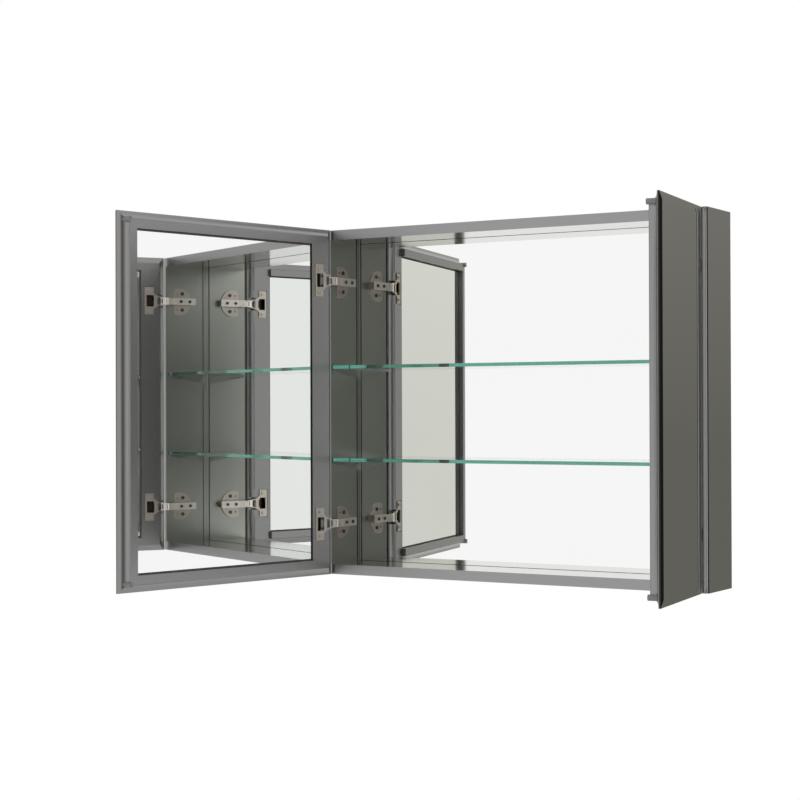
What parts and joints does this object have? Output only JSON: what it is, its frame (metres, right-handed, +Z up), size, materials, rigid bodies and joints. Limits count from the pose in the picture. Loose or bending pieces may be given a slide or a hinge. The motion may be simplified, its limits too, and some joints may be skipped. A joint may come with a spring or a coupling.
{
  "type": "medicine cabinet",
  "caption": "Surface-mounted mirrored medicine cabinet with unequal double doors on concealed hinges, mirrored sides, a mirror back and glass shelves.",
  "frame": {"origin": "centre of the cabinet's back face, on the wall", "axes": "+Y out of the back into the wall, +X to the right as seen from the room, +Z up"},
  "size_m": [0.903, 0.6106, 0.6604],
  "materials": {
    "satin_aluminium": "satin anodised, brighter inside the top and bottom",
    "mirror_glass": "silvered polished glass with green edges",
    "shelf_glass": "clear polished glass with green edges",
    "clear_plastic": "clear moulded plastic",
    "nickel": "nickel-plated pressed steel and die casting",
    "zinc_steel": "zinc-plated steel",
    "board": "hardboard, painted dark",
    "bumper_rubber": "soft translucent grey"
  },
  "bodies": {
    "cabinet": {"left_side_panel": "satin_aluminium", "right_side_panel": "satin_aluminium", "left_side_mirror": "mirror_glass", "right_side_mirror": "mirror_glass", "top_panel": "satin_aluminium", "bottom_panel": "satin_aluminium", "back_panel": "board", "back_mirror": "mirror_glass", "hanger_plates": "zinc_steel", "hanger_screws": "zinc_steel", "back_panel_screws": "zinc_steel", "corner_screws": "zinc_steel", "upper_shelf": "shelf_glass", "lower_shelf": "shelf_glass", "upper_left_bracket": "clear_plastic", "upper_right_bracket": "clear_plastic", "lower_left_bracket": "clear_plastic", "lower_right_bracket": "clear_plastic", "hinge_plate_screws": "nickel", "hinge_adjusting_screws": "nickel", "left_upper_hinge_plate": "nickel", "left_upper_hinge_arm": "nickel", "left_lower_hinge_plate": "nickel", "left_lower_hinge_arm": "nickel", "right_upper_hinge_plate": "nickel", "right_upper_hinge_arm": "nickel", "right_lower_hinge_plate": "nickel", "right_lower_hinge_arm": "nickel"},
    "left_links": {"left_upper_hinge_link": "nickel", "left_lower_hinge_link": "nickel", "left_arm_pins": "nickel"},
    "left_door": {"left_upper_hinge_cup": "nickel", "left_lower_hinge_cup": "nickel", "left_cup_pins": "nickel", "left_cup_screws": "nickel", "left_door_front_mirror": "mirror_glass", "left_door_top_rail": "satin_aluminium", "left_door_bottom_rail": "satin_aluminium", "left_door_free_stile": "satin_aluminium", "left_door_hinge_stile": "satin_aluminium", "left_door_backing_board": "board", "left_door_inner_mirror": "mirror_glass", "left_door_corner_keys": "zinc_steel", "left_door_bumpers": "bumper_rubber"},
    "right_links": {"right_upper_hinge_link": "nickel", "right_lower_hinge_link": "nickel", "right_arm_pins": "nickel"},
    "right_door": {"right_upper_hinge_cup": "nickel", "right_lower_hinge_cup": "nickel", "right_cup_pins": "nickel", "right_cup_screws": "nickel", "right_door_front_mirror": "mirror_glass", "right_door_top_rail": "satin_aluminium", "right_door_bottom_rail": "satin_aluminium", "right_door_free_stile": "satin_aluminium", "right_door_hinge_stile": "satin_aluminium", "right_door_backing_board": "board", "right_door_inner_mirror": "mirror_glass", "right_door_corner_keys": "zinc_steel", "right_door_bumpers": "bumper_rubber"}
  },
  "joints": [
    {"name": "left_link_pivot", "type": "hinge", "parent": "cabinet", "child": "left_links", "pos_m": [-0.3645, -0.111, 0], "axis": [0, 0, 1], "range_deg": [-12.89, 0.53]},
    {"name": "left_door_pivot", "type": "hinge", "parent": "left_links", "child": "left_door", "pos_m": [-0.36986, -0.12567, 0], "axis": [0, 0, 1], "range_deg": [-4.73, 115.69]},
    {"name": "right_link_pivot", "type": "hinge", "parent": "cabinet", "child": "right_links", "pos_m": [0.3645, -0.111, 0], "axis": [0, 0, -1], "range_deg": [-12.18, 1.24]},
    {"name": "right_door_pivot", "type": "hinge", "parent": "right_links", "child": "right_door", "pos_m": [0.37005, -0.1256, 0], "axis": [0, 0, -1], "range_deg": [-11.14, 109.28]}
  ],
  "couplings": [
    {"joint": "left_link_pivot", "follows": "left_door_pivot", "ratio": -0.11143},
    {"joint": "right_link_pivot", "follows": "right_door_pivot", "ratio": -0.11143}
  ]
}
